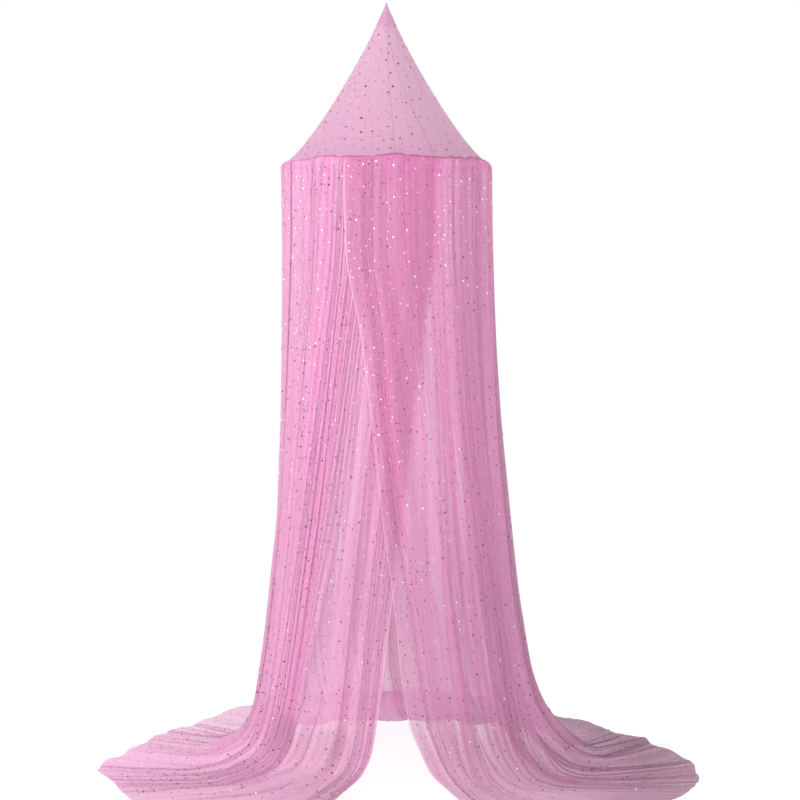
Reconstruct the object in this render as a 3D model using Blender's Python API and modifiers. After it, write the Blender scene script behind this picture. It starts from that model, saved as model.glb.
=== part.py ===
"""Round mosquito net canopy on a wire hoop.

A cone of net hangs from its point. A wire hoop spreads it, and a long net
curtain is gathered into the seam just above the hoop, hangs in uneven folds,
laps over itself at the front and trails outward over the floor all round.

Frame: metres, +Z up, origin at the point that it hangs from. The doorway
faces -Y, +X is to the right of someone who stands in front of it.
Directions are degrees round the axis: 0 front, 90 right, 180 back, -90 left.
"""
import math

import bmesh
import bpy

# ---------------------------------------------------------------- sizes (m)
HANG_HEIGHT = 2.210        # hanging point above the floor
GAP = 0.0004               # between pieces that touch
NET = 0.0012               # sheet that stands for one layer of crown net
CURTAIN_NET = 0.0015       # sheet that stands for the gathered curtain net

CROWN_DROP = 0.4595        # point to the lower edge of the cone
CROWN_SLOPE = 0.42         # radius = slope * drop + flare * drop^2
CROWN_FLARE = 0.38
LIP_START = 0.330          # below this drop the cone runs out further, towards the hoop
LIP_OUT = 0.0120           # how much further at its lower edge
CROWN_RINGS = 10
CROWN_SIDES = 36
CAP_DROP = 0.070           # second layer sewn over the point
CAP_RINGS = 3

HOOP_RADIUS = 0.287        # to the middle of the wire
HOOP_WIRE = 0.0060         # wire diameter
HOOP_HEIGHT = 1.737
HOOP_POINTS = 64

TAPE_WIDTH = 0.009         # seam tape over the join of cone and curtain
TAPE_THICK = 0.0010
TAPE_LIFT = 0.0062         # how far the tape stands off the seam line, over the gathers
TAPE_DOWN = 0.0020         # how far its middle lies below the seam line
TAPE_SIDES = 48

RIGHT_EDGE = -20.0         # directions of the two free edges at the seam
LEFT_EDGE = 28.0
PULL_REACH = 80.0          # degrees over which a pulled free edge drags its folds
EDGE_CALM = 0.45           # folds are this much shallower beside a free edge
CALM_REACH = 34.0          # degrees from a free edge where folds are full again
BACK_CALM = 0.92           # share of the folds' depth that goes at the back, near the floor
LAP_REACH = 75.0           # degrees over which the lapping panel comes back to the ring
FAN_REACH = 40.0           # degrees from a free edge where the folds fan out fully on the floor
STEPS_PER_FOLD = 5

# Hanging length of the curtain, a row for each level. Radii are those of the
# fold crests, on the four sides; depth is from crest to trough; right_edge and
# left_edge are the directions of the free edges; lap is how far the right
# panel stands outside the left one.
LEVELS = (
    # height  left    right   front   back    depth   right_edge  left_edge  lap
    (1.7460, 0.2890, 0.2900, 0.2895, 0.2895, 0.0026, -22.0, 28.0, 0.0044),
    (1.7380, 0.2975, 0.2990, 0.2980, 0.2980, 0.0042, -22.0, 28.0, 0.0060),
    (1.7280, 0.3000, 0.3025, 0.3015, 0.3015, 0.0070, -22.3, 28.0, 0.0085),
    (1.7000, 0.3005, 0.3040, 0.3025, 0.3025, 0.0110, -22.5, 28.0, 0.0110),
    (1.5000, 0.3010, 0.3095, 0.3070, 0.3060, 0.0170, -21.5, 27.5, 0.0145),
    (1.2550, 0.3020, 0.3185, 0.3150, 0.3100, 0.0210, -13.0, 21.0, 0.0170),
    (1.0300, 0.3055, 0.3320, 0.3250, 0.3180, 0.0250, -7.5, 15.0, 0.0190),
    (0.7800, 0.3145, 0.3530, 0.3420, 0.3300, 0.0290, -2.5, 9.0, 0.0210),
    (0.5000, 0.3370, 0.3800, 0.3720, 0.3480, 0.0340, 3.5, 2.0, 0.0200),
    (0.3000, 0.3625, 0.4160, 0.4000, 0.3670, 0.0380, 6.5, -2.0, 0.0120),
    (0.1900, 0.3820, 0.4500, 0.4220, 0.3760, 0.0380, 9.0, -4.0, 0.0060),
    (0.1200, 0.4020, 0.4880, 0.4420, 0.3840, 0.0360, 12.5, -5.5, 0.0020),
    (0.0650, 0.4420, 0.5400, 0.4700, 0.3930, 0.0320, 15.5, -8.5, 0.0000),
    (0.0320, 0.5000, 0.6000, 0.5150, 0.4080, 0.0260, 19.0, -13.0, 0.0000),
)
L_HEIGHT, L_LEFT, L_RIGHT, L_FRONT, L_BACK, L_DEPTH, L_REDGE, L_LEDGE, L_LAP = range(9)

# The cloth that trails on the floor, a row for each section between the last
# hanging level and the hem: share of the way out, height of its ridges, how
# far the folds fan out to the sides, and the free edges.
TRAIL = (
    # share  ridge   fan   right_edge  left_edge
    (0.30, 0.0180, 8.0, 22.0, -17.0),
    (0.64, 0.0110, 14.0, 24.0, -20.0),
    (1.00, 0.0060, 19.0, 25.0, -21.5),
)
T_SHARE, T_RIDGE, T_FAN, T_REDGE, T_LEDGE = range(5)

# Outline of the hem on the floor.
HEM = (
    # direction  radius
    (-180.0, 0.990),
    (-160.0, 0.930),
    (-145.0, 0.862),
    (-130.0, 0.778),
    (-118.0, 0.772),
    (-106.0, 0.768),
    (-95.0, 0.788),
    (-82.0, 0.840),
    (-70.0, 0.812),
    (-50.0, 0.836),
    (-25.0, 0.812),
    (0.0, 0.790),
    (30.0, 0.812),
    (55.0, 0.893),
    (68.0, 0.916),
    (78.0, 0.905),
    (92.0, 0.874),
    (102.0, 0.830),
    (109.0, 0.828),
    (117.0, 0.782),
    (125.0, 0.806),
    (137.0, 0.806),
    (146.0, 0.885),
    (160.0, 0.940),
)
HEM_WAVE = 0.003           # the hem runs out a little at each ridge

# The main folds in order round the ring, from the right panel's free edge to
# the left panel's: relative width, depth near the ring, depth near the floor,
# and lean of the crest (0 = even).
FOLDS = (
    # width  top   foot   lean
    (0.80, 0.70, 0.80, 0.05),
    (1.05, 0.95, 0.75, -0.10),
    (1.30, 0.80, 1.10, 0.12),
    (0.85, 1.05, 0.90, 0.00),
    (1.10, 0.90, 1.15, -0.14),
    (0.95, 1.10, 0.85, 0.10),
    (1.25, 0.85, 1.10, 0.06),
    (0.80, 1.00, 0.95, -0.08),
    (1.15, 0.90, 1.05, 0.12),
    (0.90, 1.10, 0.80, 0.00),
    (1.20, 0.95, 1.10, -0.12),
    (1.00, 0.85, 0.95, 0.08),
    (0.85, 1.05, 1.10, 0.10),
    (1.25, 0.90, 0.85, -0.06),
    (0.95, 1.00, 1.05, 0.00),
    (1.10, 1.10, 0.90, 0.14),
    (0.80, 0.85, 1.00, -0.10),
    (1.20, 0.95, 1.15, 0.05),
    (1.00, 1.05, 0.85, 0.10),
    (0.85, 0.90, 1.05, -0.12),
    (1.15, 1.10, 0.95, 0.00),
    (0.95, 0.85, 1.10, 0.12),
    (1.10, 1.00, 0.80, -0.05),
    (0.75, 0.75, 0.85, 0.00),
)
F_WIDTH, F_TOP, F_FOOT, F_LEAN = range(4)


# ---------------------------------------------------------------- set-up
for old in list(bpy.data.objects):
    bpy.data.objects.remove(old, do_unlink=True)

parts = bpy.data.collections.new("mosquito_net_canopy")
bpy.context.scene.collection.children.link(parts)


def material(name, colour, roughness, metallic):
    mat = bpy.data.materials.new(name)
    mat.use_nodes = True
    shader = mat.node_tree.nodes["Principled BSDF"]
    shader.inputs["Base Color"].default_value = (*colour, 1.0)
    shader.inputs["Roughness"].default_value = roughness
    shader.inputs["Metallic"].default_value = metallic
    mat.diffuse_color = (*colour, 1.0)
    return mat


crown_mat = material("crown_net", (0.76, 0.43, 0.61), 0.80, 0.0)
cap_mat = material("cap_net", (0.70, 0.34, 0.54), 0.80, 0.0)
curtain_mat = material("curtain_net", (0.80, 0.34, 0.59), 0.80, 0.0)
tape_mat = material("seam_tape", (0.55, 0.22, 0.38), 0.85, 0.0)
hoop_mat = material("hoop_wire", (0.85, 0.83, 0.82), 0.40, 0.0)


def add(name, mesh, mat):
    obj = bpy.data.objects.new(name, mesh)
    mesh.materials.append(mat)
    parts.objects.link(obj)
    return obj


def outline(name, points):
    """A mesh of one open line, for a Screw modifier to turn round the axis."""
    mesh = bpy.data.meshes.new(name)
    edges = [(i, i + 1) for i in range(len(points) - 1)]
    mesh.from_pydata([(r, 0.0, z) for r, z in points], edges, [])
    return mesh


def turn(obj, sides, closed_line=False):
    mod = obj.modifiers.new("turn", "SCREW")
    mod.axis = "Z"
    mod.angle = 2.0 * math.pi
    mod.screw_offset = 0.0
    mod.steps = sides
    mod.render_steps = sides
    mod.use_merge_vertices = True
    mod.merge_threshold = 0.00005
    mod.use_smooth_shade = True
    return mod


# ---------------------------------------------------------------- crown, cap
def cone_radius(drop):
    lip = max(drop - LIP_START, 0.0) / (CROWN_DROP - LIP_START)
    return CROWN_SLOPE * drop + CROWN_FLARE * drop * drop + LIP_OUT * lip ** 3


def cone_shell(point, drop, rings, thick_along):
    """Outer line from its point down to the edge, then the inner line back up.

    point is the height of the outer line's tip, and thick_along the wall
    measured along the axis at the tip.
    """
    outer = [(cone_radius(drop * i / rings), point - drop * i / rings)
             for i in range(rings + 1)]
    inner_drop = drop - thick_along * 0.9
    inner = [(cone_radius(inner_drop * i / rings),
              point - thick_along - inner_drop * i / rings)
             for i in range(rings, -1, -1)]
    return outer + inner


half_angle = math.atan(CROWN_SLOPE)
wall_along = NET / math.sin(half_angle)          # wall of one layer, along the axis
gap_along = GAP / math.sin(half_angle)
crown_point = -(wall_along + gap_along)          # the crown's tip sits inside the cap

cap = add("apex_cap", outline("apex_cap", cone_shell(0.0, CAP_DROP, CAP_RINGS, wall_along)), cap_mat)
turn(cap, CROWN_SIDES)
crown = add("crown", outline("crown", cone_shell(
    crown_point, CROWN_DROP + crown_point, CROWN_RINGS, wall_along)), crown_mat)
turn(crown, CROWN_SIDES)

# ---------------------------------------------------------------- hoop
ring = bpy.data.curves.new("hoop", "CURVE")
ring.dimensions = "3D"
wire = ring.splines.new("POLY")
wire.points.add(HOOP_POINTS - 1)
for i in range(HOOP_POINTS):
    a = 2.0 * math.pi * i / HOOP_POINTS
    wire.points[i].co = (HOOP_RADIUS * math.sin(a), -HOOP_RADIUS * math.cos(a),
                         HOOP_HEIGHT - HANG_HEIGHT, 1.0)
wire.use_cyclic_u = True
ring.bevel_depth = HOOP_WIRE / 2.0
ring.bevel_resolution = 2
hoop = bpy.data.objects.new("hoop", ring)
ring.materials.append(hoop_mat)
parts.objects.link(hoop)

# ---------------------------------------------------------------- seam tape
# A narrow cone-shaped band that lies over the seam, square to the cloth there.
seam_slope = (CROWN_SLOPE + 2.0 * CROWN_FLARE * CROWN_DROP
              + 3.0 * LIP_OUT / (CROWN_DROP - LIP_START))
run = 1.0 / math.hypot(1.0, seam_slope)
along_r, along_z = seam_slope * run, -run        # down the cloth
out_r, out_z = run, seam_slope * run             # out of the cloth
seam_r = cone_radius(CROWN_DROP)
seam_z = -CROWN_DROP
corner = []
for s, lift in ((-0.5, TAPE_THICK), (0.5, TAPE_THICK), (0.5, 0.0), (-0.5, 0.0)):
    down = TAPE_DOWN + s * TAPE_WIDTH
    corner.append((seam_r + along_r * down + out_r * (TAPE_LIFT + lift),
                   seam_z + along_z * down + out_z * (TAPE_LIFT + lift)))
tape_mesh = bpy.data.meshes.new("seam_tape")
tape_mesh.from_pydata([(r, 0.0, z) for r, z in corner],
                      [(0, 1), (1, 2), (2, 3), (3, 0)], [])
tape = add("seam_tape", tape_mesh, tape_mat)
turn(tape, TAPE_SIDES)


# ---------------------------------------------------------------- curtain
def round_value(direction, left, right, front, back):
    """Goes smoothly from side to side with the direction."""
    c, s = math.cos(math.radians(direction)), math.sin(math.radians(direction))
    return (front if c > 0 else back) * c * c + (right if s > 0 else left) * s * s


def hem_radius(direction):
    """The hem's outline, a smooth closed line through the rows of HEM."""
    d = (direction + 180.0) % 360.0 - 180.0
    n = len(HEM)
    i = max(k for k in range(n) if HEM[k][0] <= d)
    a0, r0 = HEM[i]
    a1 = HEM[(i + 1) % n][0] + (360.0 if i + 1 == n else 0.0)
    r1 = HEM[(i + 1) % n][1]
    rp, rn = HEM[i - 1][1], HEM[(i + 2) % n][1]
    t = (d - a0) / (a1 - a0)
    m0, m1 = (r1 - rp) / 2.0, (rn - r0) / 2.0
    return ((2 * t ** 3 - 3 * t ** 2 + 1) * r0 + (t ** 3 - 2 * t ** 2 + t) * m0
            + (-2 * t ** 3 + 3 * t ** 2) * r1 + (t ** 3 - t ** 2) * m1)


def smooth(t):
    t = min(max(t, 0.0), 1.0)
    return t * t * (3.0 - 2.0 * t)


SEAM_TURN = 360.0 + LEFT_EDGE - RIGHT_EDGE        # degrees of ring that the curtain covers


def columns():
    """(direction at the seam, wave from -1 trough to 1 crest, top and foot depth) for each line down the cloth."""
    total = sum(f[F_WIDTH] for f in FOLDS)
    at, out = RIGHT_EDGE, []
    for k, fold in enumerate(FOLDS):
        span = SEAM_TURN * fold[F_WIDTH] / total
        after = FOLDS[min(k + 1, len(FOLDS) - 1)]
        last = STEPS_PER_FOLD + (1 if k + 1 == len(FOLDS) else 0)
        for j in range(last):
            t = j / STEPS_PER_FOLD
            bent = t + fold[F_LEAN] * math.sin(2.0 * math.pi * t) / (2.0 * math.pi)
            out.append((at + span * t, math.cos(2.0 * math.pi * bent),
                        fold[F_TOP] + (after[F_TOP] - fold[F_TOP]) * t,
                        fold[F_FOOT] + (after[F_FOOT] - fold[F_FOOT]) * t))
        at += span
    return out


def shifted(seam_direction, right_edge, left_edge, fan):
    """Where a line down the cloth has gone to at a level, in degrees."""
    from_right = seam_direction - RIGHT_EDGE
    from_left = RIGHT_EDGE + SEAM_TURN - seam_direction
    d = (seam_direction
         + (right_edge - RIGHT_EDGE) * math.exp(-from_right / PULL_REACH)
         + (left_edge - LEFT_EDGE) * math.exp(-from_left / PULL_REACH))
    rad = math.radians(d)
    near = smooth(min(from_right, from_left) / FAN_REACH)
    return d + fan * near * math.sin(rad) * (1.0 + math.cos(rad)) / 1.3


def column_line(seam_direction, wave, top, foot):
    """Points of one line down the cloth, as (radius, height, direction)."""
    from_right = seam_direction - RIGHT_EDGE
    from_left = RIGHT_EDGE + SEAM_TURN - seam_direction
    calm = EDGE_CALM + (1.0 - EDGE_CALM) * smooth(min(from_right, from_left) / CALM_REACH)
    lapping = 1.0 - smooth(from_right / LAP_REACH)
    line = []
    for row in LEVELS:
        d = shifted(seam_direction, row[L_REDGE], row[L_LEDGE], 0.0)
        down = (LEVELS[0][L_HEIGHT] - row[L_HEIGHT]) / LEVELS[0][L_HEIGHT]
        back = BACK_CALM * smooth((40.0 - abs(d - 180.0)) / 25.0) * smooth((0.5 - row[L_HEIGHT]) / 0.4)
        swing = 0.5 * row[L_DEPTH] * (top + (foot - top) * down) * calm * wave * (1.0 - back)
        crest = round_value(d, row[L_LEFT], row[L_RIGHT], row[L_FRONT], row[L_BACK])
        line.append([crest - 0.5 * row[L_DEPTH] + row[L_LAP] * lapping, row[L_HEIGHT], d, swing])
    foot_r = line[-1][0]
    for row in TRAIL:
        d = shifted(seam_direction, row[T_REDGE], row[T_LEDGE], row[T_FAN])
        hem = hem_radius(d) + HEM_WAVE * wave
        ridge = 0.5 * row[T_RIDGE] * foot * calm
        line.append([foot_r + (hem - foot_r) * row[T_SHARE],
                     0.5 * CURTAIN_NET + ridge, d, ridge * wave])
    # each swing stands square to the line
    placed = []
    for k, (r, h, d, swing) in enumerate(line):
        a, b = line[max(k - 1, 0)], line[min(k + 1, len(line) - 1)]
        if k >= len(LEVELS):
            a = b = None
            nr, nh = 0.0, 1.0
        else:
            tr, th = b[0] - a[0], b[1] - a[1]
            size = math.hypot(tr, th)
            nr, nh = -th / size, tr / size
        placed.append((r + nr * swing, h + nh * swing, d))
    return placed


lines = [column_line(*c) for c in columns()]
rows = len(lines[0])
bm = bmesh.new()
grid = []
for line in lines:
    column = []
    for r, h, d in line:
        a = math.radians(d)
        column.append(bm.verts.new((r * math.sin(a), -r * math.cos(a),
                                    max(h, 0.5 * CURTAIN_NET) - HANG_HEIGHT)))
    grid.append(column)
for i in range(len(grid) - 1):
    for k in range(rows - 1):
        bm.faces.new((grid[i][k], grid[i][k + 1], grid[i + 1][k + 1], grid[i + 1][k]))
curtain_mesh = bpy.data.meshes.new("curtain")
bm.to_mesh(curtain_mesh)
bm.free()
curtain_mesh.shade_smooth()
curtain = add("curtain", curtain_mesh, curtain_mat)
wall = curtain.modifiers.new("net", "SOLIDIFY")
wall.thickness = CURTAIN_NET
wall.offset = 0.0
wall.use_rim = True
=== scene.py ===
"""Looks of the round mosquito net canopy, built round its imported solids.

Metres, +Z up, origin at the point it hangs from, the doorway faces -Y.
Directions are degrees round the axis: 0 front, 90 right, 180 back, -90 left.
"""
import math

import bpy
import numpy as np
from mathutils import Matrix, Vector


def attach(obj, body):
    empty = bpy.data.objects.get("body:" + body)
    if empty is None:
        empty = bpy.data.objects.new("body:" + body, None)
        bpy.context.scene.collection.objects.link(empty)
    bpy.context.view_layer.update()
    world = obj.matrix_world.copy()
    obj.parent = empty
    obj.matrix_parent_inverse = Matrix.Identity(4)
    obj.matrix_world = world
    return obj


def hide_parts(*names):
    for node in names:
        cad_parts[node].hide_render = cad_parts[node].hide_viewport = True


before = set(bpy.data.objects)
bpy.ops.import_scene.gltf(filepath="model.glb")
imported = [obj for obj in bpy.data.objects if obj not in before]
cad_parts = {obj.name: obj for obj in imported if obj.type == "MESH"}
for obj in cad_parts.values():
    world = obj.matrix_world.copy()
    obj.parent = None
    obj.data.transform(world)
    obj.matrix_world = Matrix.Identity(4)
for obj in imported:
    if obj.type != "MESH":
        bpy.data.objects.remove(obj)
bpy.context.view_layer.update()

# ------------------------------------------------------------------ sizes (m)
# The same as those of the solids.
HANG_HEIGHT = 2.210
CROWN_DROP = 0.4595
CROWN_SLOPE = 0.42
CROWN_FLARE = 0.38
LIP_START = 0.330
LIP_OUT = 0.0120
CAP_DROP = 0.070
HOOP_RADIUS = 0.287
HOOP_WIRE = 0.0060
HOOP_HEIGHT = 1.737
RIGHT_EDGE = -20.0
LEFT_EDGE = 28.0
PULL_REACH = 80.0
EDGE_CALM = 0.45
CALM_REACH = 34.0
BACK_CALM = 0.92
LAP_REACH = 75.0
FAN_REACH = 40.0
SEAM_TURN = 360.0 + LEFT_EDGE - RIGHT_EDGE

LEVELS = np.array((
    # height  left    right   front   back    depth   right_edge  left_edge  lap
    (1.7460, 0.2890, 0.2900, 0.2895, 0.2895, 0.0026, -22.0, 28.0, 0.0044),
    (1.7380, 0.2975, 0.2990, 0.2980, 0.2980, 0.0042, -22.0, 28.0, 0.0060),
    (1.7280, 0.3000, 0.3025, 0.3015, 0.3015, 0.0070, -22.3, 28.0, 0.0085),
    (1.7000, 0.3005, 0.3040, 0.3025, 0.3025, 0.0110, -22.5, 28.0, 0.0110),
    (1.5000, 0.3010, 0.3095, 0.3070, 0.3060, 0.0170, -21.5, 27.5, 0.0145),
    (1.2550, 0.3020, 0.3185, 0.3150, 0.3100, 0.0210, -13.0, 21.0, 0.0170),
    (1.0300, 0.3055, 0.3320, 0.3250, 0.3180, 0.0250, -7.5, 15.0, 0.0190),
    (0.7800, 0.3145, 0.3530, 0.3420, 0.3300, 0.0290, -2.5, 9.0, 0.0210),
    (0.5000, 0.3370, 0.3800, 0.3720, 0.3480, 0.0340, 3.5, 2.0, 0.0200),
    (0.3000, 0.3625, 0.4160, 0.4000, 0.3670, 0.0380, 6.5, -2.0, 0.0120),
    (0.1900, 0.3820, 0.4500, 0.4220, 0.3760, 0.0380, 9.0, -4.0, 0.0060),
    (0.1200, 0.4020, 0.4880, 0.4420, 0.3840, 0.0360, 12.5, -5.5, 0.0020),
    (0.0650, 0.4420, 0.5400, 0.4700, 0.3930, 0.0320, 15.5, -8.5, 0.0000),
    (0.0320, 0.5000, 0.6000, 0.5150, 0.4080, 0.0260, 19.0, -13.0, 0.0000),
))
L_HEIGHT, L_LEFT, L_RIGHT, L_FRONT, L_BACK, L_DEPTH, L_REDGE, L_LEDGE, L_LAP = range(9)

TRAIL = np.array((
    # share  ridge   fan   right_edge  left_edge
    (0.30, 0.0180, 8.0, 22.0, -17.0),
    (0.64, 0.0110, 14.0, 24.0, -20.0),
    (1.00, 0.0060, 19.0, 25.0, -21.5),
))
T_SHARE, T_RIDGE, T_FAN, T_REDGE, T_LEDGE = range(5)

HEM = np.array((
    # direction  radius
    (-180.0, 0.990),
    (-160.0, 0.930),
    (-145.0, 0.862),
    (-130.0, 0.778),
    (-118.0, 0.772),
    (-106.0, 0.768),
    (-95.0, 0.788),
    (-82.0, 0.840),
    (-70.0, 0.812),
    (-50.0, 0.836),
    (-25.0, 0.812),
    (0.0, 0.790),
    (30.0, 0.812),
    (55.0, 0.893),
    (68.0, 0.916),
    (78.0, 0.905),
    (92.0, 0.874),
    (102.0, 0.830),
    (109.0, 0.828),
    (117.0, 0.782),
    (125.0, 0.806),
    (137.0, 0.806),
    (146.0, 0.885),
    (160.0, 0.940),
))
HEM_WAVE = 0.003

FOLDS = np.array((
    # width  top   foot   lean
    (0.80, 0.70, 0.80, 0.05),
    (1.05, 0.95, 0.75, -0.10),
    (1.30, 0.80, 1.10, 0.12),
    (0.85, 1.05, 0.90, 0.00),
    (1.10, 0.90, 1.15, -0.14),
    (0.95, 1.10, 0.85, 0.10),
    (1.25, 0.85, 1.10, 0.06),
    (0.80, 1.00, 0.95, -0.08),
    (1.15, 0.90, 1.05, 0.12),
    (0.90, 1.10, 0.80, 0.00),
    (1.20, 0.95, 1.10, -0.12),
    (1.00, 0.85, 0.95, 0.08),
    (0.85, 1.05, 1.10, 0.10),
    (1.25, 0.90, 0.85, -0.06),
    (0.95, 1.00, 1.05, 0.00),
    (1.10, 1.10, 0.90, 0.14),
    (0.80, 0.85, 1.00, -0.10),
    (1.20, 0.95, 1.15, 0.05),
    (1.00, 1.05, 0.85, 0.10),
    (0.85, 0.90, 1.05, -0.12),
    (1.15, 1.10, 0.95, 0.00),
    (0.95, 0.85, 1.10, 0.12),
    (1.10, 1.00, 0.80, -0.05),
    (0.75, 0.75, 0.85, 0.00),
))

# ------------------------------------------------------------- cloth (m)
CLOTH_WIDTH = 5.70         # the curtain's width before it was gathered
PLEATS = 190               # fine pleats across it
SUB = 7                    # columns to a pleat
MID_FOLDS = 46             # soft folds between the pleats and the main folds

# How the cloth behaves at a height above the floor. The last rows are the
# trailing cloth: their heights stand for the way out to the hem, below 0.
SHAPE = np.array((
    # height squeeze  main  mid     inward  fullness_of_main_and_mid  spread
    (1.7460, 0.12, 0.62, 0.0000, 0.0000, 1.02, 0.0),
    (1.7380, 0.26, 0.62, 0.0000, -0.0038, 1.02, 0.0),
    (1.7280, 0.40, 0.62, 0.0004, -0.0042, 1.03, 0.0),
    (1.7000, 0.54, 0.62, 0.0012, -0.0030, 1.05, 0.0),
    (1.6400, 0.62, 0.62, 0.0020, -0.0018, 1.07, 0.02),
    (1.5000, 0.68, 0.62, 0.0028, 0.0000, 1.10, 0.06),
    (1.2550, 0.76, 0.62, 0.0036, 0.0010, 1.15, 0.14),
    (1.0300, 0.84, 0.62, 0.0044, 0.0015, 1.20, 0.28),
    (0.7800, 1.00, 0.70, 0.0054, 0.0010, 1.25, 0.52),
    (0.5000, 1.00, 0.80, 0.0066, -0.0010, 1.32, 0.84),
    (0.3000, 1.00, 0.80, 0.0080, -0.0020, 1.38, 1.0),
    (0.1900, 1.00, 0.80, 0.0084, -0.0010, 1.38, 1.0),
    (0.1200, 1.00, 0.80, 0.0080, 0.0000, 1.34, 1.0),
    (0.0650, 0.90, 0.80, 0.0062, 0.0000, 1.25, 1.0),
    (0.0320, 0.72, 0.80, 0.0048, 0.0000, 1.15, 1.0),
    (-0.300, 0.48, 0.65, 0.0026, 0.0000, 1.05, 1.0),
    (-0.640, 0.36, 0.65, 0.0018, 0.0000, 1.03, 1.0),
    (-1.000, 0.22, 0.65, 0.0012, 0.0000, 1.02, 1.0),
))
S_HEIGHT, S_SQUEEZE, S_MAIN, S_MID, S_INWARD, S_FULL, S_SPREAD = range(7)

# Where the cloth bunches up near the floor (more than 1) and where it hangs
# almost flat (less than 1), by direction.
EDGE_STRIP = np.array((
    # height  gathering of the strip beside the right panel's free edge
    (1.7460, -0.95),
    (1.6000, -0.90),
    (1.4500, -0.78),
    (1.2550, -0.45),
    (1.0300, -0.15),
    (0.8500, 0.10),
    (0.3000, 0.10),
    (0.0320, -0.20),
    (-1.000, -0.30),
))

BUNCH = np.array((
    (-180.0, 0.95),
    (-165.0, 0.80),
    (-150.0, 0.62),
    (-135.0, 0.95),
    (-115.0, 1.25),
    (-90.0, 1.10),
    (-72.0, 1.20),
    (-58.0, 1.32),
    (-44.0, 1.18),
    (-36.0, 0.60),
    (-27.0, 0.50),
    (-18.0, 0.95),
    (-8.0, 1.00),
    (-2.0, 0.75),
    (4.0, 0.55),
    (12.0, 0.48),
    (20.0, 0.60),
    (27.0, 1.20),
    (40.0, 1.42),
    (55.0, 1.34),
    (70.0, 1.10),
    (90.0, 1.05),
    (112.0, 1.20),
    (135.0, 1.05),
    (150.0, 0.75),
    (165.0, 0.58),
    (180.0, 0.95),
))

# How thick the net is to the eye: the share that its threads cover, seen
# square on, is 1 - exp(-veil).
VEIL_CROWN = 0.78
VEIL_CAP = 0.22
VEIL_CURTAIN = 0.72
CRISP = 0.20               # how strongly the folds shade: open net scatters light all round


# ---------------------------------------------------------------- helpers
def smooth(t):
    t = np.clip(t, 0.0, 1.0)
    return t * t * (3.0 - 2.0 * t)


def hermite(x, xs, ys):
    """A smooth line through ys (last axis) at xs that never overshoots, read at x."""
    xs = np.asarray(xs, float)
    ys = np.asarray(ys, float)
    h = np.diff(xs)
    slope = np.diff(ys, axis=-1) / h
    m = np.zeros_like(ys)
    a, b = slope[..., :-1], slope[..., 1:]
    w1, w2 = 2.0 * h[1:] + h[:-1], h[1:] + 2.0 * h[:-1]
    same = a * b > 0.0
    safe_a, safe_b = np.where(same, a, 1.0), np.where(same, b, 1.0)
    m[..., 1:-1] = np.where(same, (w1 + w2) / (w1 / safe_a + w2 / safe_b), 0.0)
    m[..., 0], m[..., -1] = slope[..., 0], slope[..., -1]
    i = np.clip(np.searchsorted(xs, x, side="right") - 1, 0, len(xs) - 2)
    t = (x - xs[i]) / h[i]
    y0, y1, m0, m1 = ys[..., i], ys[..., i + 1], m[..., i] * h[i], m[..., i + 1] * h[i]
    return ((2 * t ** 3 - 3 * t ** 2 + 1) * y0 + (t ** 3 - 2 * t ** 2 + t) * m0
            + (-2 * t ** 3 + 3 * t ** 2) * y1 + (t ** 3 - t ** 2) * m1)


def round_value(direction, left, right, front, back):
    c, s = np.cos(np.radians(direction)), np.sin(np.radians(direction))
    return np.where(c > 0, front, back) * c * c + np.where(s > 0, right, left) * s * s


def hem_radius(direction):
    d = (np.asarray(direction) + 180.0) % 360.0 - 180.0
    n = len(HEM)
    i = np.searchsorted(HEM[:, 0], d, side="right") - 1
    a0, r0 = HEM[i, 0], HEM[i, 1]
    j = (i + 1) % n
    a1 = HEM[j, 0] + np.where(i + 1 == n, 360.0, 0.0)
    r1, rp, rn = HEM[j, 1], HEM[i - 1, 1], HEM[(i + 2) % n, 1]
    t = (d - a0) / (a1 - a0)
    m0, m1 = (r1 - rp) / 2.0, (rn - r0) / 2.0
    return ((2 * t ** 3 - 3 * t ** 2 + 1) * r0 + (t ** 3 - 2 * t ** 2 + t) * m0
            + (-2 * t ** 3 + 3 * t ** 2) * r1 + (t ** 3 - t ** 2) * m1)


def shifted(seam_direction, right_edge, left_edge, fan):
    from_right = seam_direction - RIGHT_EDGE
    from_left = RIGHT_EDGE + SEAM_TURN - seam_direction
    d = (seam_direction
         + (right_edge - RIGHT_EDGE) * np.exp(-from_right / PULL_REACH)
         + (left_edge - LEFT_EDGE) * np.exp(-from_left / PULL_REACH))
    rad = np.radians(d)
    near = smooth(np.minimum(from_right, from_left) / FAN_REACH)
    return d + fan * near * np.sin(rad) * (1.0 + np.cos(rad)) / 1.3


def cone_radius(drop):
    lip = np.maximum(drop - LIP_START, 0.0) / (CROWN_DROP - LIP_START)
    return CROWN_SLOPE * drop + CROWN_FLARE * drop * drop + LIP_OUT * lip ** 3


def soft_noise(rng, rows, cols, row_step, col_step):
    """Smooth random field of mean 0 and spread 1, with features of the given sizes in samples."""
    def stretch(values, count, step, axis):
        n = values.shape[axis]
        at = np.arange(count) / step
        i = np.minimum(at.astype(int), n - 2)
        t = smooth(at - i)
        a, b = np.take(values, i, axis), np.take(values, i + 1, axis)
        shape = [1, 1]
        shape[axis] = count
        t = t.reshape(shape)
        return a * (1 - t) + b * t
    field = rng.standard_normal((int(rows / row_step) + 3, int(cols / col_step) + 3))
    field = stretch(stretch(field, rows, row_step, 0), cols, col_step, 1)
    return field * 1.35


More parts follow.
